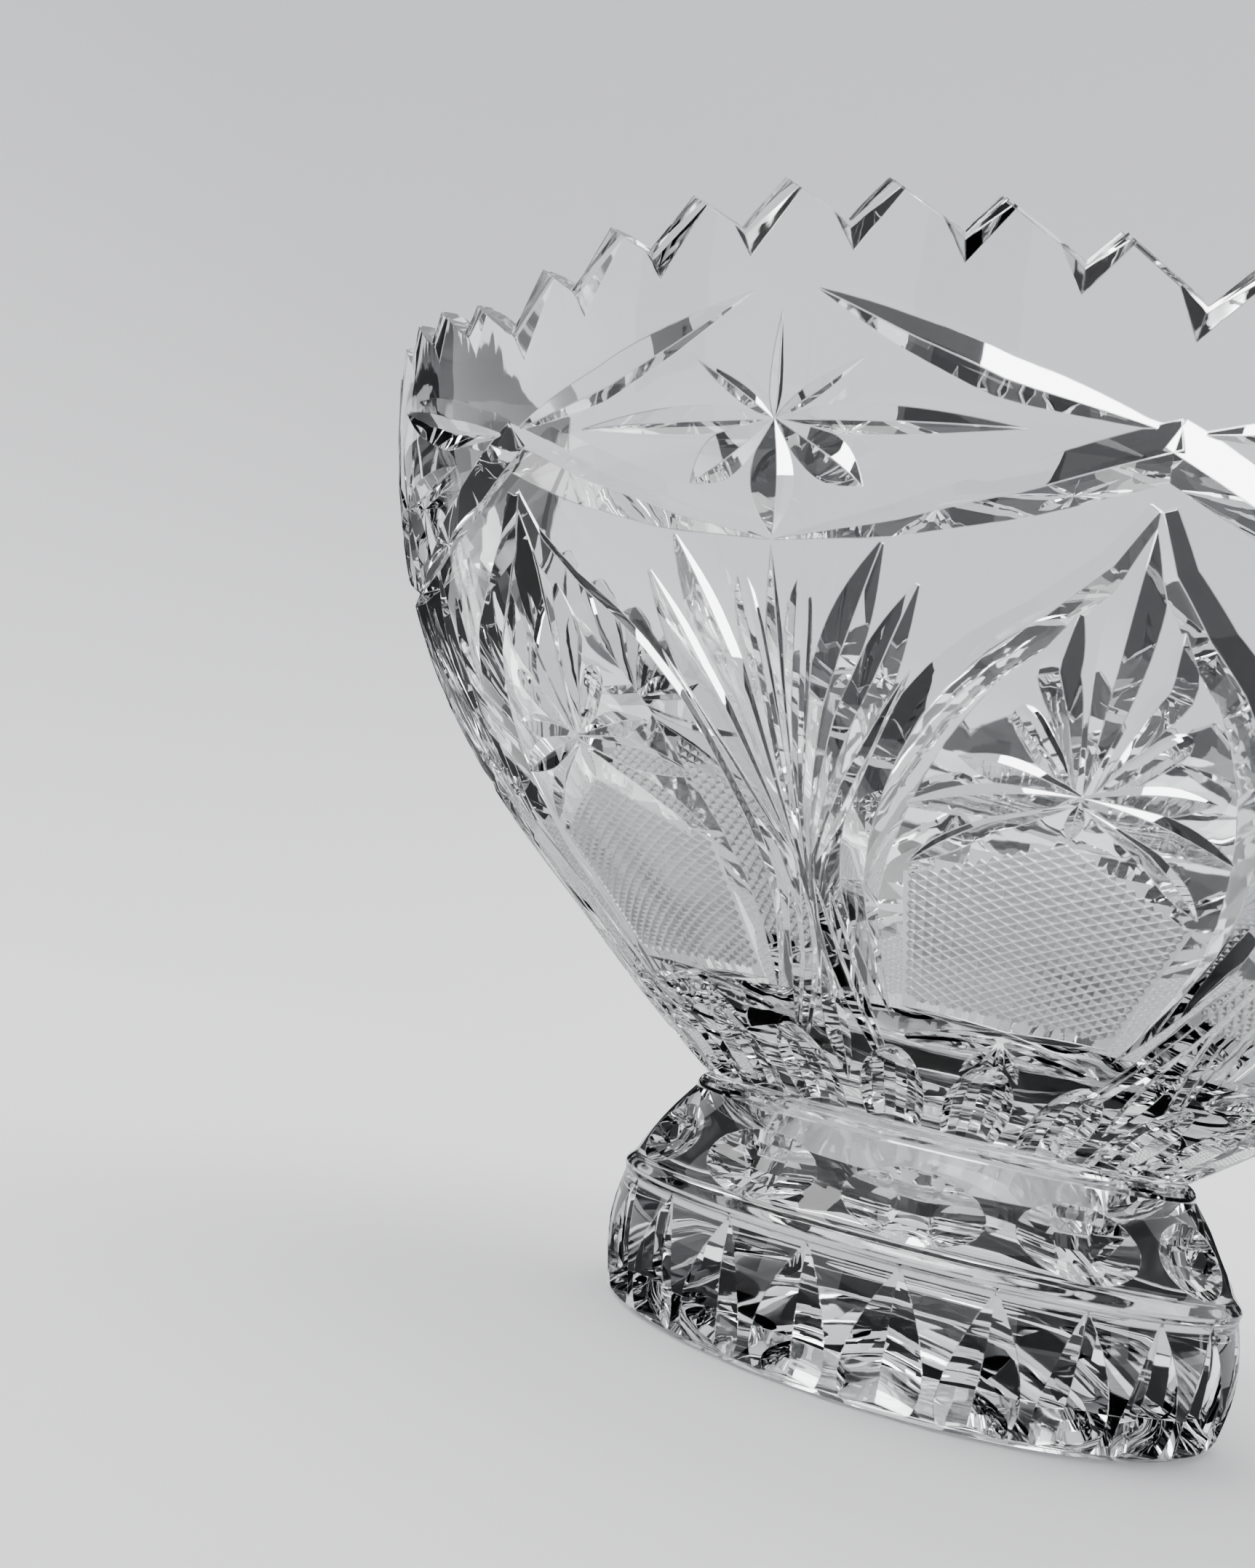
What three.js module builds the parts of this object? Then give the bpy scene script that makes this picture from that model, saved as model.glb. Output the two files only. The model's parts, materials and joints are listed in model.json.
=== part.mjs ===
// A cut-crystal punch bowl in two loose pieces: a deep scalloped bowl whose foot plug drops
// into the socket of a separate flared stand. Millimetres, +Z up, origin on the table under
// the centre of the stand.
import * as THREE from "three";
import { mergeVertices } from "three/addons/utils/BufferGeometryUtils.js";

// ---------------------------------------------------------------- driving dimensions
const RIM_RADIUS = 140; // outside radius at the deep valleys of the rim
const SCALLOPS = 8; // large rounded scallops round the rim, and repeats of the cut pattern
const TEETH = 7; // saw teeth on each scallop
const RIM_LOW = 155.5; // height of the deep valley between two scallops
const SCALLOP_RISE = 8; // how far the middle of a scallop stands above that valley
const TOOTH_HEIGHT = 8; // height of one tooth above the valleys beside it
const RIM_EDGE = 4.5; // thickness of the glass at the rim
const WALL = 9; // thickness of the glass below the rim

const CROSSING_Z = 143.5; // height where the upper mitre cuts cross, under each deep valley
const LOZENGE_LOW_Z = 124; // bottom corner of the lozenge between two crossings
const ARCH_TOP_Z = 136; // top of the gothic arches
const ARCH_FOOT_Z = 82; // height where neighbouring arches join into one column
const BEVEL_Z = 150; // the band between the lozenges and the bevelled teeth of the rim
const CUT_DEPTH = 2.6; // depth of the main mitre cuts

const SEAT_Z = 46.3; // underside of the bowl where it rests above the collar of the stand
const SEAT_RADIUS = 49; // outside radius of the bowl at the seat
const PLUG_RADIUS = 38.5; // plug under the bowl that centres it in the stand
const PLUG_LENGTH = 7;
const BOWL_FLOOR_Z = 61; // lowest point of the inside of the bowl
const FLOOR_RADIUS = 30; // nearly flat middle of the inside

const STAND_HEIGHT = 46; // top face of the stand's collar
const COLLAR_RADIUS = 50.5;
const SOCKET_RADIUS = 39.5; // socket in the top of the stand, a loose fit round the plug
const SOCKET_DEPTH = 12.5;
const SHOULDER_RADIUS = 60.8; // thin edge between the thumbprints and the skirt
const SHOULDER_Z = 25.2;
const SHOULDER_BULGE = 1; // how far the band of thumbprints swells beyond a straight cone
const FOOT_RADIUS = 60; // outside radius of the stand on the table
const SKIRT_BULGE = 2; // how far the skirt swells between the table and the shoulder
const FOOT_RING = 8; // width of the flat ring that touches the table
const RECESS_HEIGHT = 15; // height of the hollow under the stand
const LENSES = 12; // oval thumbprints round the shoulder of the stand
const FLUTES_PER_LENS = 2; // pointed flutes on the skirt below each thumbprint
const LENS_DEPTH = 2.4;
const FLUTE_DEPTH = 2.6;
const EDGE = 1.5; // small bevels at the edges of the plug and the foot

// ---------------------------------------------------------------- shapes shared by both pieces
const STEPS = TEETH * 2; // columns of the bowl's mesh in one scallop
const HALF = TEETH; // columns from the middle of a valley to the middle of a scallop
const COLUMNS = SCALLOPS * STEPS;

// The outside of the bowl from its seat to its rim, as radius against height: a rounded bottom,
// a nearly straight cone and a wall that curves up to the rim.
const OUTSIDE = new THREE.SplineCurve([
  new THREE.Vector2(SEAT_RADIUS, SEAT_Z),
  new THREE.Vector2(58, 53),
  new THREE.Vector2(68, 61),
  new THREE.Vector2(83, 74),
  new THREE.Vector2(96, 85),
  new THREE.Vector2(107.5, 96),
  new THREE.Vector2(121, 112),
  new THREE.Vector2(131.5, 130),
  new THREE.Vector2(137.5, 146),
  new THREE.Vector2(RIM_RADIUS, RIM_LOW),
  new THREE.Vector2(RIM_RADIUS + 4, RIM_LOW + SCALLOP_RISE + TOOTH_HEIGHT),
]);
const OUTSIDE_POINTS = OUTSIDE.getPoints(240);

// Radius of the outside of the bowl at a height.
function outsideRadius(z) {
  const next = OUTSIDE_POINTS.findIndex((p) => p.y >= z);
  if (next < 0) return OUTSIDE_POINTS.at(-1).x;
  if (next === 0) return OUTSIDE_POINTS[0].x;
  const [a, b] = [OUTSIDE_POINTS[next - 1], OUTSIDE_POINTS[next]];
  return THREE.MathUtils.mapLinear(z, a.y, b.y, a.x, b.x);
}

// Radius of the smooth inside of the bowl: the wall keeps its thickness where the bowl slopes.
function insideRadius(z) {
  const slope = (outsideRadius(z + 1) - outsideRadius(z - 1)) / 2;
  return outsideRadius(z) - WALL * Math.hypot(1, slope);
}

// Columns from the nearest deep valley of the rim, 0 to HALF.
function fromValley(column) {
  const step = column % STEPS;
  return Math.min(step, STEPS - step);
}

// Height of the rim at a column: valleys on even columns and tooth tips on odd ones.
function rimHeight(column) {
  const step = column % STEPS;
  const arch = SCALLOP_RISE * Math.sin((Math.PI * step) / STEPS);
  return RIM_LOW + arch + (step % 2 ? TOOTH_HEIGHT : 0);
}

// A closed body made of rings from its bottom to its top: each ring gives [radius, height] for
// a column, and the body starts and ends at a point on the axis.
function ringBody(columns, turn, startZ, rings, endZ) {
  const positions = [0, 0, startZ];
  for (const ring of rings) {
    for (let c = 0; c < columns; c++) {
      const [radius, z] = ring(c);
      const angle = (2 * Math.PI * c) / columns + turn;
      positions.push(radius * Math.cos(angle), radius * Math.sin(angle), z);
    }
  }
  positions.push(0, 0, endZ);
  const last = 1 + rings.length * columns;
  const index = [];
  for (let c = 0; c < columns; c++) {
    const d = (c + 1) % columns;
    index.push(0, 1 + d, 1 + c);
    for (let k = 0; k + 1 < rings.length; k++) {
      const low = 1 + k * columns;
      const high = low + columns;
      const [p, q, r, s] = [low + c, low + d, high + d, high + c];
      // The diagonal follows the cuts: it leans the other way in each half of a scallop.
      if (rings[k].lean?.(c)) index.push(p, q, s, q, r, s);
      else index.push(p, q, r, p, r, s);
    }
    index.push(last, last - columns + c, last - columns + d);
  }
  const geometry = new THREE.BufferGeometry();
  geometry.setAttribute("position", new THREE.Float32BufferAttribute(positions, 3));
  geometry.setIndex(index);
  return mergeVertices(geometry, 1e-4);
}

// ---------------------------------------------------------------- the bowl
// One ring of the outer wall. cut(column) says how deep the glass is cut away there.
function wallRing(height, cut, lean) {
  const ring = (c) => {
    const z = height(c);
    return [outsideRadius(z) - cut(c), z];
  };
  ring.lean = lean;
  return ring;
}

const firstHalf = (c) => c % STEPS < HALF;
const secondHalf = (c) => !firstHalf(c);

// The cut is on the column that is this many steps from a deep valley.
const cutAt = (steps) => (c) => (fromValley(c) === steps ? CUT_DEPTH : 0);
const noCut = () => 0;

// The legs of the arches sweep down from under a crossing to the column between two arches:
// one row of the mesh for each column that they cross.
function archRings() {
  const rings = [];
  for (let row = 0; row <= HALF; row++) {
    const rise = 1 - (1 - row / HALF) ** 1.7;
    const z = THREE.MathUtils.lerp(ARCH_FOOT_Z, ARCH_TOP_Z, rise);
    rings.push(wallRing(() => z, cutAt(HALF - row), firstHalf));
  }
  return rings;
}

// Mitre cuts that run up to the crossings from the lozenge's lower corner, and on above them.
function lozengeRings() {
  const rings = [];
  for (let row = 1; row < HALF; row++) {
    const z = THREE.MathUtils.lerp(LOZENGE_LOW_Z, CROSSING_Z, row / HALF);
    if (z > ARCH_TOP_Z + 1) rings.push(wallRing(() => z, cutAt(HALF - row), firstHalf));
  }
  for (let row = 0; row < HALF; row += 2) {
    const bend = 1 + (0.6 * row) / HALF;
    const z = THREE.MathUtils.lerp(CROSSING_Z, BEVEL_Z, (bend * row) / HALF);
    rings.push(wallRing(() => z, cutAt(row), secondHalf));
  }
  return rings;
}

function bowlGeometry() {
  const plugZ = SEAT_Z - PLUG_LENGTH;
  const rings = [
    () => [PLUG_RADIUS - EDGE, plugZ],
    () => [PLUG_RADIUS, plugZ + EDGE],
    () => [PLUG_RADIUS, SEAT_Z],
    wallRing(() => SEAT_Z, noCut),
    wallRing(() => 56, cutAt(HALF)),
    wallRing(() => 69, cutAt(HALF)),
    ...archRings(),
    ...lozengeRings(),
    wallRing(rimHeight, noCut),
    (c) => [outsideRadius(rimHeight(c)) - RIM_EDGE, rimHeight(c)],
  ];
  for (const z of [147, 132, 116, 100, 86, 76, 68]) rings.push(() => [insideRadius(z), z]);
  rings.push(() => [FLOOR_RADIUS, BOWL_FLOOR_Z + 1]);
  return ringBody(COLUMNS, 0, plugZ, rings, BOWL_FLOOR_Z);
}

// ---------------------------------------------------------------- the stand
const FLUTE_COLUMNS = 4; // columns of the stand's mesh in one flute
const LENS_COLUMNS = FLUTE_COLUMNS * FLUTES_PER_LENS;
const STAND_COLUMNS = LENSES * LENS_COLUMNS;
const STAND_TURN = (2 * Math.PI) / LENSES / 4; // puts a thumbprint under every other scallop

// Depth of a hollow cut at a column: nothing on the ridge between two cuts, full in the middle.
const hollow = (c, across, depth) => depth * Math.sin((Math.PI * (c % across)) / across);

// A ring of the skirt and one of the shoulder, by how far they are from foot or edge to top.
function skirtRing(t, share) {
  const cone = THREE.MathUtils.lerp(FOOT_RADIUS, SHOULDER_RADIUS, t);
  const radius = cone + SKIRT_BULGE * Math.sin(Math.PI * t);
  return (c) => [radius - hollow(c, FLUTE_COLUMNS, share * FLUTE_DEPTH), SHOULDER_Z * t];
}

function shoulderRing(t, share) {
  const cone = THREE.MathUtils.lerp(SHOULDER_RADIUS, COLLAR_RADIUS, t);
  const radius = cone + SHOULDER_BULGE * Math.sin(Math.PI * t);
  const z = THREE.MathUtils.lerp(SHOULDER_Z, STAND_HEIGHT - 2 * EDGE, t);
  return (c) => [radius - hollow(c, LENS_COLUMNS, share * LENS_DEPTH), z];
}

function standGeometry() {
  const rings = [
    () => [FOOT_RADIUS - FOOT_RING - 22, RECESS_HEIGHT - 2],
    () => [FOOT_RADIUS - FOOT_RING - 6, RECESS_HEIGHT / 2],
    () => [FOOT_RADIUS - FOOT_RING, 0],
    () => [FOOT_RADIUS - EDGE, 0],
    skirtRing(0.06, 0),
    skirtRing(0.25, 0.9),
    skirtRing(0.5, 1),
    skirtRing(0.75, 0.7),
    skirtRing(0.95, 0.1),
    shoulderRing(0, 0),
    shoulderRing(0.25, 0.8),
    shoulderRing(0.5, 1),
    shoulderRing(0.75, 0.8),
    shoulderRing(1, 0),
    () => [COLLAR_RADIUS, STAND_HEIGHT - EDGE],
    () => [COLLAR_RADIUS - EDGE, STAND_HEIGHT],
    () => [SOCKET_RADIUS + EDGE, STAND_HEIGHT],
    () => [SOCKET_RADIUS, STAND_HEIGHT - EDGE],
    () => [SOCKET_RADIUS, STAND_HEIGHT - SOCKET_DEPTH],
  ];
  const floorZ = STAND_HEIGHT - SOCKET_DEPTH;
  return ringBody(STAND_COLUMNS, STAND_TURN, RECESS_HEIGHT, rings, floorZ);
}

// ---------------------------------------------------------------- assembly
const glass = { color: 0xf2f5f5, roughness: 0.03, metalness: 0 };

function piece(name, geometry) {
  const mesh = new THREE.Mesh(geometry, new THREE.MeshStandardMaterial(glass));
  mesh.name = name;
  return mesh;
}

const punchBowl = new THREE.Group();
punchBowl.add(piece("bowl", bowlGeometry()));
punchBowl.add(piece("stand", standGeometry()));

export default punchBowl;
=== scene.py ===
"""A cut-crystal punch bowl on its separate stand, cut the way a glass cutter does it.

Each piece starts as a smooth turned blank. Every mitre, blade, flute and thumbprint is a wheel
cut: a closed cutter swept over the surface and taken out of the blank. A cut is described by
points (angle in degrees from the middle of its repeat, height in metres).
"""
import json
import math

import bpy
import numpy as np
from mathutils import Matrix, Vector

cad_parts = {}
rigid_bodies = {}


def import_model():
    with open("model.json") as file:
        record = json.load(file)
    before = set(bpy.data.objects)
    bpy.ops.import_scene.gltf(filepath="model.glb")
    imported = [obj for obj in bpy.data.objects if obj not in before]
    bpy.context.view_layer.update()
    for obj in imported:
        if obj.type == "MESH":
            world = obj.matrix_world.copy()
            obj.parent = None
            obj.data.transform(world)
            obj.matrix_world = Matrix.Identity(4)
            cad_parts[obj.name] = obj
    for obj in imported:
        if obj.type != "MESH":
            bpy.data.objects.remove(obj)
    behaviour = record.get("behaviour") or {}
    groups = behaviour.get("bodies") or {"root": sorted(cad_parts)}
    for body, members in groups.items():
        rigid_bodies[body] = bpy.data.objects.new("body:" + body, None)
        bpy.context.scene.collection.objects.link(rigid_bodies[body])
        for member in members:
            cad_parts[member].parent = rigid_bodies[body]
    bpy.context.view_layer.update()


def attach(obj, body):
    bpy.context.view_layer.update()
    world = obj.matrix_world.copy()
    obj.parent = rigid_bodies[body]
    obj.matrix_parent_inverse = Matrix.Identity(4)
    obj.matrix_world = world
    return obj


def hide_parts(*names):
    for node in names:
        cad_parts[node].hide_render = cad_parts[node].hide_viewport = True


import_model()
MM = 0.001

# ------------------------------------------------------------------ driving sizes
# The large sizes are the CAD's. Heights are above the table.
RIM_RADIUS = 140 * MM
REPEATS = 8  # scallops of the rim, and repeats of the cut pattern
TEETH = 7  # on each scallop of the rim
RIM_LOW = 155.5 * MM  # bottom of the tooth cut in a valley between two scallops
SCALLOP_RISE = 8 * MM
TOOTH_HEIGHT = 8 * MM
RIM_EDGE = 4.5 * MM  # thickness of the glass at the rim
WALL = 9 * MM  # thickness of the glass below it
LOZENGE_STAR_Z = 139 * MM
LOZENGE_LOW_Z = 124 * MM  # bottom corner of a lozenge, between two arches
FAN_FOOT_Z = 82 * MM  # the point that a fan opens from, between two arches
ARCH_STAR_Z = 98 * MM
PANEL_TOP_Z = 93 * MM  # a hatched panel has a roof of two slopes, highest in its middle
PANEL_CORNER_Z = 85 * MM
PANEL_LOW_Z = 66.5 * MM
PANEL_HALF = 12.8  # half the width of a hatched panel, in degrees
HATCH_STEP = 1.95  # degrees between two hatch cuts
SEAT_Z = 46.3 * MM  # underside of the bowl, a little clear of the stand
PLUG_RADIUS = 38.5 * MM
PLUG_LENGTH = 7 * MM
BOWL_FLOOR_Z = 61 * MM  # lowest point of the inside
STAND_HEIGHT = 46 * MM
COLLAR_RADIUS = 50.5 * MM
SOCKET_RADIUS = 39.5 * MM
SOCKET_DEPTH = 12.5 * MM
SHOULDER_RADIUS = 60.8 * MM
SHOULDER_Z = 25.2 * MM
SHOULDER_BULGE = 1 * MM
FOOT_RADIUS = 60 * MM
SKIRT_BULGE = 2 * MM
RIDGE_HEIGHT = 0.9 * MM  # the thin ridge between the thumbprints and the skirt
RIDGE_WIDTH = 2.6 * MM
FOOT_RING = 8 * MM  # width of the ring under the stand, round a recess
RECESS_HEIGHT = 15 * MM
LENSES = 12  # oval thumbprints round the stand
FLUTES = 24  # pointed flutes round its skirt
ROUNDED = 3 * MM  # height of the rounded edge of the collar
CUTTER_LIFT = 1.5 * MM  # how far a cutter stands out of the surface that it cuts
SHARP_ANGLE = 14  # an edge between faces that meet at more than this stays sharp, in degrees

REPEAT = 360 / REPEATS  # one arch and one lozenge, in degrees
HALF = REPEAT / 2  # from the middle of an arch to the middle of a lozenge
NEAR_SIDE = -90.0  # an arch faces -Y, the near side of the photograph

# The outside of the bowl from its seat to its rim, as radius and height.
OUTSIDE = np.array([
    (49, 46.3), (58, 53), (68, 61), (83, 74), (96, 85), (107.5, 96),
    (121, 112), (131.5, 130), (137.5, 146), (140, 155.5), (144, 170),
]) * MM


# ------------------------------------------------------------------ turned blanks
def smooth_profile(points, steps=24):
    """A Catmull-Rom curve through the points."""
    ends = np.vstack([points[:1], points, points[-1:]])
    curve = []
    for a, b, c, d in zip(ends, ends[1:], ends[2:], ends[3:]):
        for w in np.arange(steps) / steps:
            tangent_b, tangent_c = (c - a) / 2, (d - b) / 2
            cubic = (2 * b - 2 * c + tangent_b + tangent_c) * w**3
            square = (3 * c - 3 * b - 2 * tangent_b - tangent_c) * w**2
            curve.append(cubic + square + tangent_b * w + b)
    return np.array(curve + [points[-1]])


BOWL_WALL = smooth_profile(OUTSIDE)


def stand_profile():
    """The outside of the stand from the table to the edge of its collar: both bands swell."""
    t = np.linspace(0, 1, 24)
    skirt = FOOT_RADIUS + (SHOULDER_RADIUS - FOOT_RADIUS) * t + SKIRT_BULGE * np.sin(math.pi * t)
    band = SHOULDER_RADIUS + (COLLAR_RADIUS - SHOULDER_RADIUS) * t
    band += SHOULDER_BULGE * np.sin(math.pi * t)
    low = np.column_stack([skirt, SHOULDER_Z * t])
    high = np.column_stack([band, SHOULDER_Z + (STAND_HEIGHT - ROUNDED - SHOULDER_Z) * t])
    profile = smooth_profile(np.vstack([low, high[1:]]), 4)
    from_ridge = (profile[:, 1] - SHOULDER_Z - 0.3 * MM) / RIDGE_WIDTH
    profile[:, 0] += RIDGE_HEIGHT * np.exp(-(2 * from_ridge)**2)
    return profile


STAND_WALL = stand_profile()


def wall_radius(wall, z):
    return np.interp(z, wall[:, 1], wall[:, 0])


def inside_radius(z):
    """The smooth inside of the bowl: the wall keeps its thickness where the bowl slopes."""
    slope = (wall_radius(BOWL_WALL, z + MM) - wall_radius(BOWL_WALL, z - MM)) / (2 * MM)
    return wall_radius(BOWL_WALL, z) - WALL * np.hypot(1, slope)


def on_wall(wall, angle, z):
    """Point and outward normal of a turned wall, at an angle in degrees from +X."""
    slope = (wall_radius(wall, z + MM) - wall_radius(wall, z - MM)) / (2 * MM)
    a = math.radians(angle)
    point = Vector((wall_radius(wall, z) * math.cos(a), wall_radius(wall, z) * math.sin(a), z))
    return point, Vector((math.cos(a), math.sin(a), -slope)).normalized()


def rim_top(angle):
    """Height of the uncut rim, through the tips of the teeth, at an angle from a deep valley."""
    share = (angle % REPEAT) / REPEAT
    return RIM_LOW + TOOTH_HEIGHT + SCALLOP_RISE * math.sin(math.pi * share)


def turned(name, rings, columns):
    """A closed body whose rings give (radius, height) at an angle, with a point on the axis at
    each end."""
    low, high = rings[0](0)[1], rings[-1](0)[1]
    verts = [(0, 0, low)]
    for ring in rings:
        for c in range(columns):
            angle = 360 * c / columns
            radius, z = ring(angle)
            a = math.radians(angle)
            verts.append((radius * math.cos(a), radius * math.sin(a), z))
    verts.append((0, 0, high))
    last = len(verts) - 1
    faces = []
    for c in range(columns):
        d = (c + 1) % columns
        faces.append((0, 1 + d, 1 + c))
        for k in range(len(rings) - 1):
            a, b = 1 + k * columns, 1 + (k + 1) * columns
            faces.append((a + c, a + d, b + d, b + c))
        faces.append((last, last - columns + c, last - columns + d))
    return mesh_object(name, verts, faces)


def mesh_object(name, verts, faces, collection=None):
    mesh = bpy.data.meshes.new(name)
    mesh.from_pydata(verts, [], faces)
    mesh.update()
    piece = bpy.data.objects.new(name, mesh)
    (collection or bpy.context.scene.collection).objects.link(piece)
    return piece


# ------------------------------------------------------------------ wheel cuts
def depth_share(t, peak, start, end):
    """The share of its full depth that a cut has at the share t of its way."""
    rise = t / peak if t < peak else (1 - t) / (1 - peak)
    left = start if t < peak else end
    return left + (1 - left) * math.sin(math.pi / 2 * rise)


class Cuts:
    """The cutters of one piece. Each cut is made in every repeat round the piece at once, and
    `first` is the angle of the middle of the first repeat."""

    def __init__(self, name, wall, repeats, first):
        self.wall = wall
        self.turns = [first + 360 * k / repeats for k in range(repeats)]
        self.collection = bpy.data.collections.new(name + "_cuts")
        bpy.context.scene.collection.children.link(self.collection)

    def sweep(self, path, section, steps):
        """Sweeps a section along a path of (angle, height). section(t) gives points (across,
        outwards) of an open groove, from one side over its bottom to the other, in metres;
        the cutter is closed above the surface."""
        path = np.array(path, float)
        spans = np.linspace(0, len(path) - 1, steps + 1)
        angles = np.interp(spans, range(len(path)), path[:, 0])
        heights = np.interp(spans, range(len(path)), path[:, 1])
        verts, faces = [], []
        for turn in self.turns:
            places = [on_wall(self.wall, turn + a, z) for a, z in zip(angles, heights)]
            start = len(verts)
            for k, (point, out) in enumerate(places):
                before, after = places[max(k - 1, 0)][0], places[min(k + 1, steps)][0]
                across = out.cross((after - before).normalized()).normalized()
                groove = section(k / steps)
                verts += [point + across * u + out * v for u, v in groove]
            size = len(groove)
            for k in range(steps):
                a, b = start + k * size, start + (k + 1) * size
                for i in range(size):
                    j = (i + 1) % size
                    faces.append((a + i, a + j, b + j, b + i))
            faces.append([start + i for i in reversed(range(size))])
            faces.append([start + steps * size + i for i in range(size)])
        mesh_object("cut", verts, faces, self.collection)

    def mitre(self, path, depth, half_angle=52, peak=0.5, start=0.0, end=0.0, steps=14):
        """A V cut. It is deepest at the share `peak` of its way, and start and end say how much
        of that depth is left at its ends: none makes the pointed end of a leaf."""
        spread = math.tan(math.radians(half_angle))

        def section(t):
            d = depth * depth_share(t, peak, start, end)
            half = (d + CUTTER_LIFT) * spread
            return [(-half, CUTTER_LIFT), (0, -d), (half, CUTTER_LIFT)]

        self.sweep(path, section, steps)

    def flute(self, path, depth, width, start=0.0, end=0.0, peak=0.5, steps=14):
        """A rounded cut with a circular section, as wide as `width` where it is `depth` deep."""
        wheel = (width**2 / 4 + depth**2) / (2 * depth)

        def section(t):
            d = depth * depth_share(t, peak, start, end)
            sunk = d + CUTTER_LIFT
            half = math.sqrt(max(2 * wheel * sunk - sunk**2, 1e-12))
            reach = math.asin(min(half / wheel, 1))
            turns = np.linspace(-reach, reach, 9)
            return [(wheel * math.sin(a), wheel * (1 - math.cos(a)) - d) for a in turns]

        self.sweep(path, section, steps)

    def both(self, cut, path, *args, **settings):
        """The same cut on both sides of the middle of the repeat."""
        cut(path, *args, **settings)
        cut([(-a, z) for a, z in path], *args, **settings)

    def take_from(self, blank):
        """Takes all the cutters out of the blank at once, and clears them away."""
        modifier = blank.modifiers.new("cuts", "BOOLEAN")
        modifier.operation = "DIFFERENCE"
        modifier.operand_type = "COLLECTION"
        modifier.solver = "MANIFOLD"
        modifier.collection = self.collection
        depsgraph = bpy.context.evaluated_depsgraph_get()
        cut = bpy.data.meshes.new_from_object(blank.evaluated_get(depsgraph))
        blank.modifiers.clear()
        blank.data = cut
        cut.materials.clear()
        for cutter in list(self.collection.objects):
            bpy.data.objects.remove(cutter)
        bpy.data.collections.remove(self.collection)


def crisp(piece):
    """Smooth shading with every edge of a cut left sharp."""
    piece.data.polygons.foreach_set("use_smooth", [True] * len(piece.data.polygons))
    piece.data.set_sharp_from_angle(angle=math.radians(SHARP_ANGLE))


# ------------------------------------------------------------------ the bowl
def bowl_blank():
    """The uncut bowl, from its plug over the outside and the rim to the bottom of the inside."""
    rings = [
        lambda a: (PLUG_RADIUS - 1.5 * MM, SEAT_Z - PLUG_LENGTH),
        lambda a: (PLUG_RADIUS, SEAT_Z - PLUG_LENGTH + 1.5 * MM),
        lambda a: (PLUG_RADIUS, SEAT_Z),
    ]
    band = 5 * MM  # the plain band under the teeth
    level_top = RIM_LOW - 12 * MM  # the rings are level up to here, and follow the scallops above
    level_share = 0.85  # share of the rings that are level

    def wall_ring(t):
        def ring(a):
            z = SEAT_Z + (level_top - SEAT_Z) * min(t / level_share, 1)
            if t > level_share:
                top = rim_top(a) - TOOTH_HEIGHT - band
                z += (top - z) * (t - level_share) / (1 - level_share)
            return wall_radius(BOWL_WALL, z), z
        return ring

    rings += [wall_ring(t) for t in np.linspace(0, 1, 54)]
    rings.append(lambda a: (wall_radius(BOWL_WALL, rim_top(a)) - 0.8 * MM, rim_top(a)))
    rings.append(lambda a: (wall_radius(BOWL_WALL, rim_top(a)) - RIM_EDGE, rim_top(a)))
    dish = 8 * MM  # the bottom of the inside curves up by this much to the wall
    below_rim = 6 * MM
    for z in np.linspace(RIM_LOW - below_rim, BOWL_FLOOR_Z + dish, 20):
        rings.append(lambda a, z=z: (inside_radius(z), z))
    edge = inside_radius(BOWL_FLOOR_Z + dish)
    for t in (0.9, 0.75, 0.55, 0.3):
        rings.append(lambda a, t=t: (edge * t, BOWL_FLOOR_Z + dish * t**3))
    return turned("bowl_glass", rings, columns=7 * TEETH * REPEATS)


def cut_teeth(cuts):
    """A slanted V cut between every two teeth, lower outside than inside, and a small bevel along
    both of its edges. Each V is as wide as one tooth at the top of the rim."""
    pitch = REPEAT / TEETH
    half = RIM_RADIUS * math.radians(pitch) / 2
    above = 9 * MM  # how far a cutter stands above the rim
    # A cut goes from one depth in the wall to another, each with how far the V lies above its
    # lowest point at the outer face.
    through = ((-8, -1.6), (7, 2.8))
    outer_bevel = ((-6, -6.5), (1, 0.4))
    inner_bevel = ((RIM_EDGE / MM - 1, 0.9), (12, -2))
    for k in range(TEETH):
        angle = k * pitch
        top = rim_top(angle)
        face = wall_radius(BOWL_WALL, top - TOOTH_HEIGHT / 2)
        for line in (through, outer_bevel, inner_bevel):
            verts, faces = [], []
            for turn in cuts.turns:
                a = math.radians(turn + angle)
                out = Vector((math.cos(a), math.sin(a), 0))
                side = Vector((-math.sin(a), math.cos(a), 0))
                s = len(verts)
                for inwards, lift in reversed(line):
                    low = out * (face - inwards * MM)
                    low.z = top - TOOTH_HEIGHT + lift * MM
                    tall = top + above - low.z
                    high = low + Vector((0, 0, tall))
                    wide = half * tall / (top - low.z)
                    verts += [low, high + side * wide, high - side * wide]
                faces += [(s, s + 2, s + 1), (s + 3, s + 4, s + 5), (s, s + 1, s + 4, s + 3),
                          (s + 1, s + 2, s + 5, s + 4), (s + 2, s, s + 3, s + 5)]
            mesh_object("tooth_cut", verts, faces, cuts.collection)


def mm_path(*points):
    """A path given as degrees and millimetres."""
    return [(angle, height * MM) for angle, height in points]


def lozenge_side(side):
    """Gives points by degrees beside the middle of a lozenge, on one side, and millimetres."""
    return lambda offset, height: (HALF + side * offset, height * MM)


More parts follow.
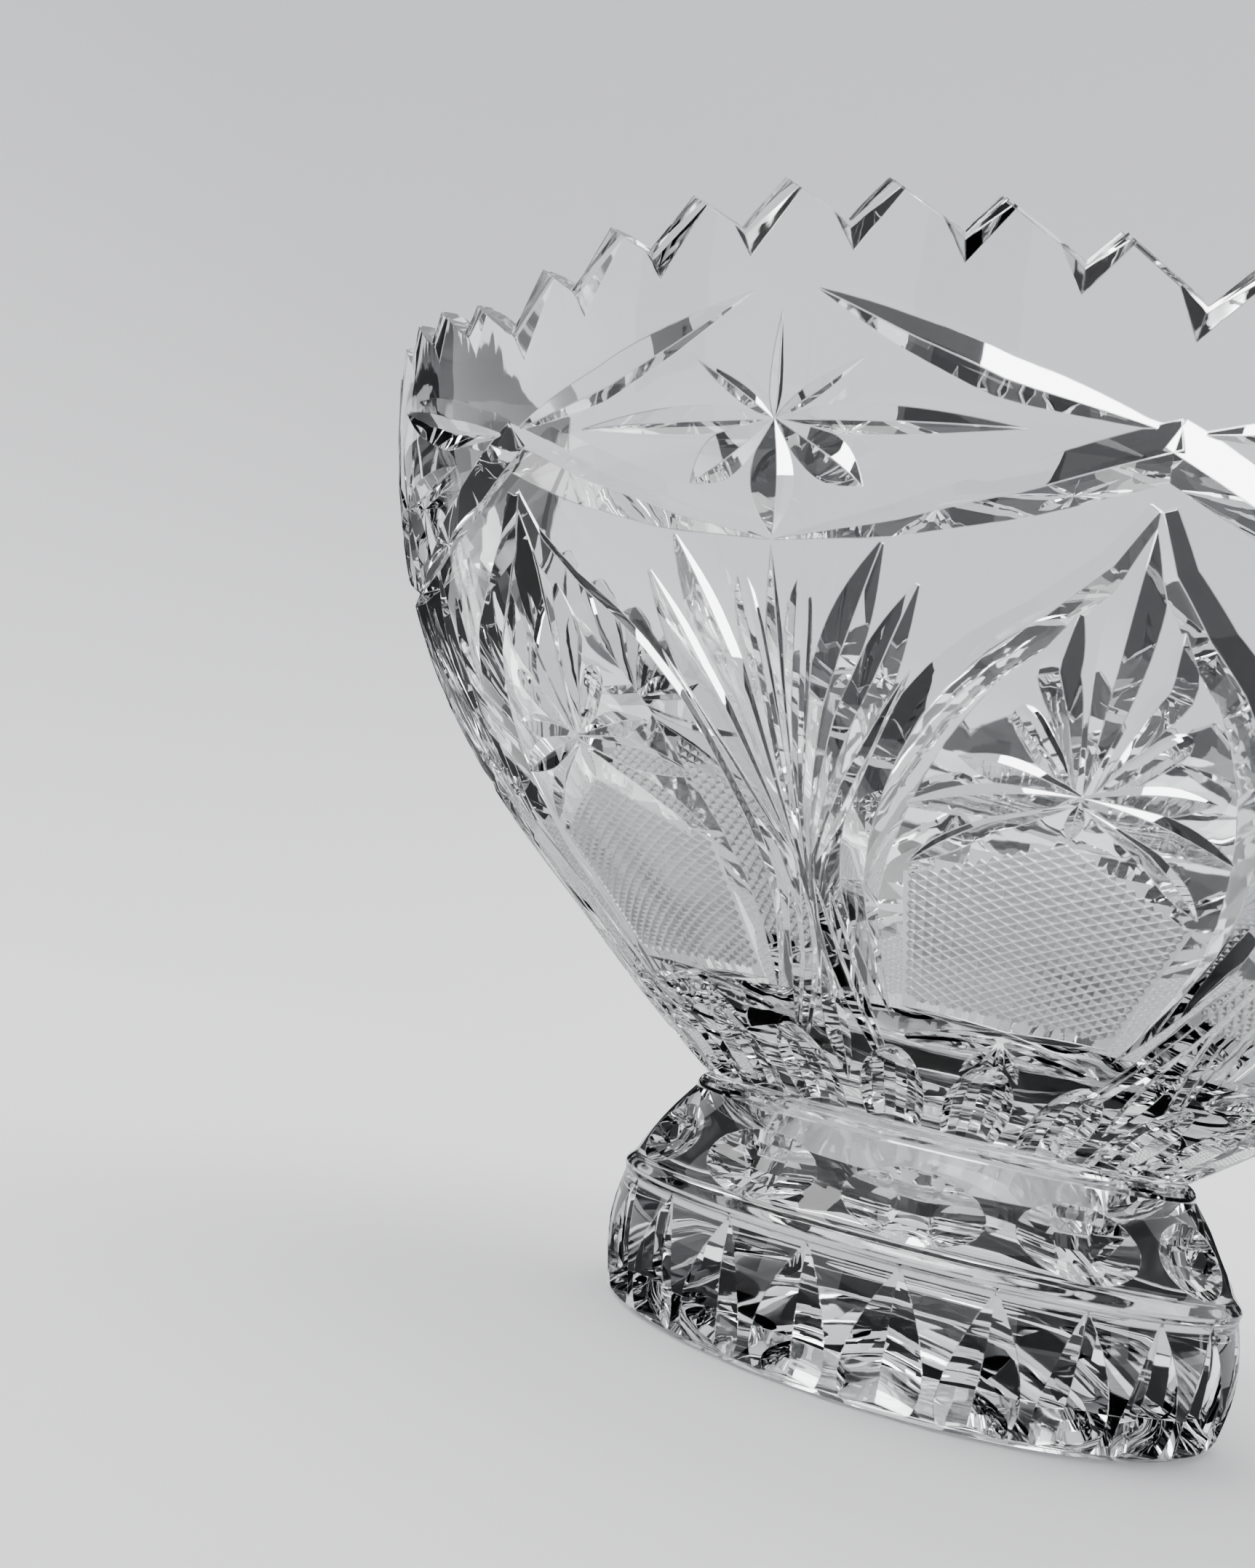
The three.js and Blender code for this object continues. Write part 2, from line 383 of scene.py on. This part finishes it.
def cut_lozenges(cuts):
    """The mitres that cross under each deep valley and frame a star in each lozenge."""
    low = LOZENGE_LOW_Z / MM
    cuts.both(cuts.mitre, mm_path((0.3, 141), (9.2, 145), (15, 150), (20.8, 156)), 1.9 * MM,
              half_angle=56, peak=0.42)
    cuts.both(cuts.mitre, mm_path((-0.5, 139.6), (7.3, 132.2), (15, 127), (HALF, low)), 2.6 * MM,
              half_angle=56, peak=0.1, start=0.97)
    star = LOZENGE_STAR_Z / MM
    for side in (-1, 1):
        beside = lozenge_side(side)
        cuts.mitre([beside(-0.2, star), beside(14.8, star + 0.4)], 1.4 * MM, half_angle=56, peak=0.35)
        cuts.mitre([beside(-0.1, star - 0.2), beside(5.4, star + 8.2)], 0.9 * MM, peak=0.4)
        cuts.mitre([beside(-0.1, star + 0.3), beside(5.8, star - 8)], 1.9 * MM, half_angle=60,
                   peak=0.62)
    cuts.mitre(mm_path((HALF, star - 0.3), (HALF, star + 14.2)), 0.8 * MM, peak=0.3)
    cuts.mitre(mm_path((HALF, star + 0.4), (HALF, low + 0.4)), 1.7 * MM, half_angle=64, peak=0.55)


def cut_arches(cuts):
    """A broad curved mitre from under each crossing to the lower corner of the hatched panel."""
    leg = mm_path((0.1, 132), (1.8, 125), (4.9, 118.2), (8.2, 112.8), (10.1, 108.8), (12.2, 103.5),
                  (13.8, 98.2), (15.1, 92.9), (16.4, 87), (17.2, 81), (16.9, 75), (15.8, 69),
                  (14.4, 64))
    cuts.both(cuts.mitre, leg, 2.9 * MM, half_angle=58, peak=0.45, start=0.35, steps=48)


def cut_arch_star(cuts):
    """The star above the hatched panel, and the blades and domes that rise from it."""
    star = ARCH_STAR_Z / MM
    cuts.mitre(mm_path((0, star + 0.5), (0, 130)), 2.1 * MM, half_angle=60, peak=0.68, end=0.2)
    cuts.both(cuts.mitre, mm_path((0.6, star + 0.5), (2.4, 107), (3.6, 112), (3.1, 119.5)), 1.8 * MM,
              half_angle=58, peak=0.66, end=0.15)
    cuts.both(cuts.flute, mm_path((1.2, star + 1), (3.4, 103), (5.6, 107.6)), 1.1 * MM, 4.6 * MM,
              peak=0.75)
    cuts.both(cuts.mitre, mm_path((-0.4, star), (9.2, star + 2.6)), 1.7 * MM, half_angle=56, peak=0.6)
    cuts.both(cuts.mitre, mm_path((-0.4, star + 0.2), (13.4, star - 4.6)), 1.9 * MM, half_angle=56)
    cuts.both(cuts.mitre, mm_path((0.2, star - 1), (6.4, 92.4), (12.6, 86.2)), 1.3 * MM, peak=0.7)
    cuts.mitre(mm_path((0, star - 0.4), (0, PANEL_TOP_Z / MM - 0.6)), 1 * MM)


def in_panel(angle, z, edge=0.0):
    """Whether a point lies in a hatched panel, at least `edge` degrees from its border."""
    across = np.abs(angle)
    roof = PANEL_TOP_Z - across / PANEL_HALF * (PANEL_TOP_Z - PANEL_CORNER_Z)
    border = edge * 1.5 * MM  # a degree is about 1.5 mm on the wall of the panel
    return (across <= PANEL_HALF - edge) & (z <= roof - border) & (z >= PANEL_LOW_Z + border)


def cut_panel(cuts):
    """The hatched panel: two sets of fine V cuts that leave small pyramids."""
    rise = 0.7 * MM  # how far a hatch cut climbs in one degree
    middle = 78 * MM  # height where the middle cuts of both sets cross
    across = np.arange(-13, 13.01, 0.25)
    for lean in (-1, 1):
        for k in range(-17, 18):
            line = [(a, middle + lean * (a - k * HATCH_STEP) * rise) for a in across]
            kept = [p for p in line if in_panel(*p, edge=0.5)]
            if len(kept) > 4:
                cuts.mitre([kept[0], kept[-1]], 0.52 * MM, half_angle=55, start=0.9, end=0.9, steps=8)


def cut_fans(cuts):
    """The fan of long blades and domes between two arches, that opens from a single point."""
    foot = FAN_FOOT_Z / MM
    cuts.mitre(mm_path((HALF, foot + 1), (HALF, 123.6)), 1.1 * MM, half_angle=54, peak=0.6)
    for side in (-1, 1):
        beside = lozenge_side(side)
        cuts.flute([beside(0.35, foot + 8), beside(1.2, 104), beside(2.2, 120)], 1.3 * MM, 4.6 * MM,
                   peak=0.72)
        cuts.mitre([beside(0.5, foot + 2), beside(2.9, 103), beside(4.9, 112.5), beside(7.2, 124.5)],
                   1.9 * MM, half_angle=60, peak=0.66, end=0.12)
        cuts.mitre([beside(0.9, foot + 3), beside(4.6, 99.5), beside(7, 108), beside(9.6, 120)],
                   1.8 * MM, half_angle=60, peak=0.66, end=0.12)
        cuts.mitre([beside(1.2, foot + 2), beside(4.4, 92), beside(6.9, 99.5), beside(9.6, 110)],
                   1.0 * MM, half_angle=58, peak=0.5)


def cut_columns(cuts):
    """Twin ridges that part under each fan, and the rounded fingers round the neck."""
    near = [(0.7, 82), (1.0, 76), (1.8, 70), (3.4, 64), (5.8, 58), (7.4, 53)]
    far = [(2.2, 80.5), (2.5, 76), (3.4, 70), (5.1, 64), (7.6, 57.5)]
    for side in (-1, 1):
        beside = lozenge_side(side)
        for path, depth in ((near, 1.1), (far, 1.0)):
            cuts.mitre([beside(*point) for point in path], depth * MM, peak=0.4, steps=24)
    cuts.mitre(mm_path((HALF, 72), (HALF, 52)), 1.3 * MM, half_angle=60, peak=0.6)
    cuts.both(cuts.flute, mm_path((0.4, 63.6), (6.4, 62), (12.6, 61.4)), 1 * MM, 4 * MM)
    cuts.both(cuts.mitre, mm_path((13.4, 66), (0, 64.9), (-12, 62.6)), 0.6 * MM, peak=0.3)
    for offset in (1.2, 4.4):
        cuts.both(cuts.mitre, mm_path((offset * 0.15, 62.8), (offset, 57.5)), 0.7 * MM, peak=0.5)
    for finger in (-REPEAT / 3, 0, REPEAT / 3):
        cuts.flute(mm_path((finger * 0.94, 59.5), (finger * 0.98, 53), (finger, 46.6)), 2.9 * MM,
                   11.5 * MM, peak=0.62, end=0.6)


def mark_unpolished(bowl):
    """Records on every face whether it belongs to a hatched panel, which is left unpolished."""
    mesh = bowl.data
    centres = np.empty(len(mesh.polygons) * 3, np.float32)
    mesh.polygons.foreach_get("center", centres)
    x, y, z = centres.reshape(-1, 3).T
    angle = (np.degrees(np.arctan2(y, x)) - NEAR_SIDE + HALF) % REPEAT - HALF
    outside = np.hypot(x, y) > wall_radius(BOWL_WALL, z) - 2 * MM
    panel = outside & in_panel(angle, z, edge=0.3)
    unpolished = mesh.attributes.new("unpolished", "FLOAT", "FACE")
    unpolished.data.foreach_set("value", panel.astype(np.float32))


def make_bowl():
    bowl = bowl_blank()
    cuts = Cuts("bowl", BOWL_WALL, REPEATS, NEAR_SIDE)
    cut_teeth(cuts)
    cut_lozenges(cuts)
    cut_arches(cuts)
    cut_arch_star(cuts)
    cut_panel(cuts)
    cut_fans(cuts)
    cut_columns(cuts)
    cuts.take_from(bowl)
    mark_unpolished(bowl)
    crisp(bowl)
    return bowl


# ------------------------------------------------------------------ the stand
def stand_blank():
    """The uncut stand, from the recess under it over the outside to the bottom of the socket."""
    recess = FOOT_RADIUS - FOOT_RING
    rings = [
        lambda a: (recess - 38 * MM, RECESS_HEIGHT - 0.4 * MM),
        lambda a: (recess - 22 * MM, RECESS_HEIGHT - 2 * MM),
        lambda a: (recess - 6 * MM, RECESS_HEIGHT / 2),
        lambda a: (recess, 0.8 * MM),
        lambda a: (recess + 0.8 * MM, 0),
        lambda a: (FOOT_RADIUS - 3 * MM, 0),
        lambda a: (FOOT_RADIUS - 1.2 * MM, 0.4 * MM),
    ]
    for z in np.linspace(1.6 * MM, STAND_HEIGHT - ROUNDED, 72):
        rings.append(lambda a, z=z: (wall_radius(STAND_WALL, z), z))
    bead = ROUNDED - 0.2 * MM  # radius of the rounded edge, which starts just above the last ring
    for turn in np.linspace(0, 90, 7):
        t = math.radians(turn)
        over, up = bead * math.cos(t) - bead, bead * math.sin(t) - bead
        rings.append(lambda a, over=over, up=up: (COLLAR_RADIUS + over, STAND_HEIGHT + up))
    rings += [
        lambda a: (SOCKET_RADIUS + 1 * MM, STAND_HEIGHT),
        lambda a: (SOCKET_RADIUS, STAND_HEIGHT - 1 * MM),
        lambda a: (SOCKET_RADIUS, STAND_HEIGHT - SOCKET_DEPTH),
    ]
    return turned("stand_glass", rings, columns=16 * FLUTES)


def make_stand():
    stand = stand_blank()
    quarter = 360 / LENSES / 4  # a thumbprint lies under every other scallop, as in the CAD
    lenses = Cuts("lens", STAND_WALL, LENSES, quarter + 180 / LENSES)
    middle = (SHOULDER_Z + STAND_HEIGHT - ROUNDED) / 2
    reach = 12.5  # half the length of a thumbprint, in degrees
    lenses.flute([(-reach, middle), (reach, middle)], 3.4 * MM, 14.5 * MM, steps=24)
    lenses.take_from(stand)
    flutes = Cuts("flute", STAND_WALL, FLUTES, quarter)
    flutes.mitre([(0, SHOULDER_Z - 0.8 * MM), (0, 12 * MM), (0, 1.2 * MM)], 2.6 * MM,
                 half_angle=72, peak=0.8, end=0.8, steps=24)
    flutes.take_from(stand)
    crisp(stand)
    return stand


# ------------------------------------------------------------------ materials
def crystal(name):
    """Lead crystal: clear, with a faint waviness from polishing and a little wear on its gloss."""
    material = bpy.data.materials.new(name)
    material.use_nodes = True
    nodes, links = material.node_tree.nodes, material.node_tree.links
    shader = nodes["Principled BSDF"]
    shader.inputs["Transmission Weight"].default_value = 1.0
    shader.inputs["IOR"].default_value = 1.54
    place = nodes.new("ShaderNodeTexCoord")
    polish = nodes.new("ShaderNodeTexNoise")
    polish.inputs["Scale"].default_value = 60
    polish.inputs["Detail"].default_value = 3
    links.new(place.outputs["Object"], polish.inputs["Vector"])
    gloss = nodes.new("ShaderNodeMapRange")
    gloss.inputs["From Min"].default_value = 0.35
    gloss.inputs["From Max"].default_value = 0.75
    gloss.inputs["To Min"].default_value = 0.0
    gloss.inputs["To Max"].default_value = 0.035
    links.new(polish.outputs["Fac"], gloss.inputs["Value"])
    unpolished = nodes.new("ShaderNodeAttribute")
    unpolished.attribute_name = "unpolished"
    matte = nodes.new("ShaderNodeMath")
    matte.operation = "MULTIPLY_ADD"
    matte.inputs[1].default_value = 0.38  # roughness of the hatched panels
    links.new(unpolished.outputs["Fac"], matte.inputs[0])
    links.new(gloss.outputs["Result"], matte.inputs[2])
    links.new(matte.outputs["Value"], shader.inputs["Roughness"])
    tint = nodes.new("ShaderNodeValToRGB")
    tint.color_ramp.elements[0].color = (0.965, 0.985, 0.98, 1)
    tint.color_ramp.elements[1].color = (0.99, 0.995, 1.0, 1)
    links.new(polish.outputs["Fac"], tint.inputs["Fac"])
    links.new(tint.outputs["Color"], shader.inputs["Base Color"])
    arris = nodes.new("ShaderNodeBevel")  # every edge of a cut is very slightly rounded
    arris.samples = 4
    arris.inputs["Radius"].default_value = 0.0003
    bump = nodes.new("ShaderNodeBump")
    bump.inputs["Strength"].default_value = 0.05
    bump.inputs["Distance"].default_value = 0.0004
    links.new(polish.outputs["Fac"], bump.inputs["Height"])
    links.new(arris.outputs["Normal"], bump.inputs["Normal"])
    links.new(bump.outputs["Normal"], shader.inputs["Normal"])
    return material


# ------------------------------------------------------------------ stage
def stage_material(name, colour):
    material = bpy.data.materials.new(name)
    material.use_nodes = True
    shader = material.node_tree.nodes["Principled BSDF"]
    shader.inputs["Base Color"].default_value = (*colour, 1)
    shader.inputs["Roughness"].default_value = 0.9
    shader.inputs["Specular IOR Level"].default_value = 0.1
    return material


def round_sheet(name, rings, material, first=0, last=360, columns=96):
    """A turned sheet through rings of (radius, height), from one angle to another."""
    turns = np.radians(np.linspace(first, last, columns + 1))
    verts = [(r * math.cos(a), r * math.sin(a), z) for r, z in rings for a in turns]
    faces = []
    for k in range(len(rings) - 1):
        low, high = k * (columns + 1), (k + 1) * (columns + 1)
        faces += [(low + c, high + c, high + c + 1, low + c + 1) for c in range(columns)]
    sheet = mesh_object(name, verts, faces)
    sheet.data.polygons.foreach_set("use_smooth", [True] * len(faces))
    sheet.data.materials.append(material)
    return sheet


def dark_sheet(name, rings, material, first, last):
    """A sheet that is seen only in the crystal: it neither shows nor shades the floor."""
    sheet = round_sheet(name, rings, material, first, last, columns=24)
    sheet.visible_camera = False
    sheet.visible_shadow = False
    sheet.visible_diffuse = False


def make_stage():
    """A pale round floor that sweeps up into a pale wall on every side. Round the object lie and
    stand dark sheets and flags that only the crystal shows, which draws its cuts."""
    flat, bend, top = 0.9, 2.5, 3.2  # radius of the floor, radius of its sweep, height of the wall
    turns = np.linspace(0, math.pi / 2, 24)
    sweep = [(flat + bend * math.sin(t), bend * (1 - math.cos(t))) for t in turns]
    floor = [(0.001, 0), (0.2, 0), (0.5, 0)] + sweep + [(flat + bend, top)]
    round_sheet("floor", floor, stage_material("pale_floor", (0.8, 0.8, 0.81)))
    dark = stage_material("dark_flag", (0.012, 0.012, 0.013))
    grey = stage_material("grey_table", (0.4, 0.4, 0.41))
    behind = (20, 158)  # the sector behind the object for the photo's camera, in degrees
    dark_sheet("dark_mat", [(0.064, 0.0005), (0.12, 0.0005)], dark, 0, 360)
    dark_sheet("grey_table", [(0.12, 0.0005), (0.7, 0.001)], grey, 0, 360)
    dark_sheet("dark_table", [(0.7, 0.001), (1.2, 0.002)], dark, *behind)
    dark_sheet("dark_skirting", [(1.2, 0.002), (1.25, 0.05), (1.27, 0.26)], dark, *behind)
    # The middle and the width of each standing flag, in degrees round the object.
    side_flags = ((0, 36), (59, 22), (118, 14), (148, 20), (207, 12), (249, 14), (318, 34))
    for number, (middle, width) in enumerate(side_flags):
        first, last = middle - width / 2, middle + width / 2
        dark_sheet(f"side_flag_{number}", [(1.3, 0.02), (1.3, 1.1)], dark, first, last)
    for number in range(6):
        first = 60 * number + 22
        dark_sheet(f"high_flag_{number}", [(1.0, 1.05), (0.55, 1.5)], dark, first, first + 16)


def area_light(name, place, target, size, power):
    data = bpy.data.lights.new(name, "AREA")
    data.shape = "RECTANGLE"
    data.size, data.size_y = size
    data.energy = power
    lamp = bpy.data.objects.new(name, data)
    lamp.location = place
    lamp.rotation_euler = (Vector(target) - Vector(place)).to_track_quat("-Z", "Y").to_euler()
    bpy.context.scene.collection.objects.link(lamp)


def make_lights():
    world = bpy.data.worlds.new("studio")
    world.use_nodes = True
    background = world.node_tree.nodes["Background"]
    background.inputs["Color"].default_value = (0.8, 0.81, 0.83, 1)
    background.inputs["Strength"].default_value = 1.3
    bpy.context.scene.world = world
    area_light("window_left", (-1.5, -0.7, 1.5), (0, 0, 0.1), (1.2, 1.2), 35)
    area_light("window_back", (0.9, 1.6, 1.6), (0, 0, 0.1), (1.6, 1.0), 40)
    area_light("overhead", (0, 0, 2.3), (0, 0, 0), (1.2, 1.2), 20)


# ------------------------------------------------------------------ camera
def make_camera():
    """A low, close camera a little rolled and looking slightly up, as the photograph was taken."""
    distance = 2.294 * RIM_RADIUS
    height = 0.416 * RIM_RADIUS
    turn = math.radians(-5.6)  # where it stands, round the object from the near side
    yaw = math.radians(14.1)  # how far it looks to the left of the object's axis
    up = math.radians(7.8)
    roll = math.radians(12.7)
    data = bpy.data.cameras.new("camera")
    data.sensor_fit = "HORIZONTAL"
    data.sensor_width = 36
    data.lens = 42.7
    data.clip_start = 0.01
    camera = bpy.data.objects.new("camera", data)
    bpy.context.scene.collection.objects.link(camera)
    place = Vector((distance * math.sin(turn), -distance * math.cos(turn), height))
    aim = Matrix.Rotation(yaw + turn, 4, "Z") @ Matrix.Rotation(math.pi / 2 + up, 4, "X")
    camera.matrix_world = Matrix.Translation(place) @ aim @ Matrix.Rotation(roll, 4, "Z")
    bpy.context.scene.camera = camera


# ------------------------------------------------------------------ the scene
make_camera()
make_lights()
make_stage()

bowl = make_bowl()
bowl.data.materials.append(crystal("bowl_crystal_glass"))
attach(bowl, "bowl_body")
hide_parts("bowl")

stand = make_stand()
stand.data.materials.append(crystal("stand_crystal_glass"))
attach(stand, "stand_body")
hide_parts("stand")
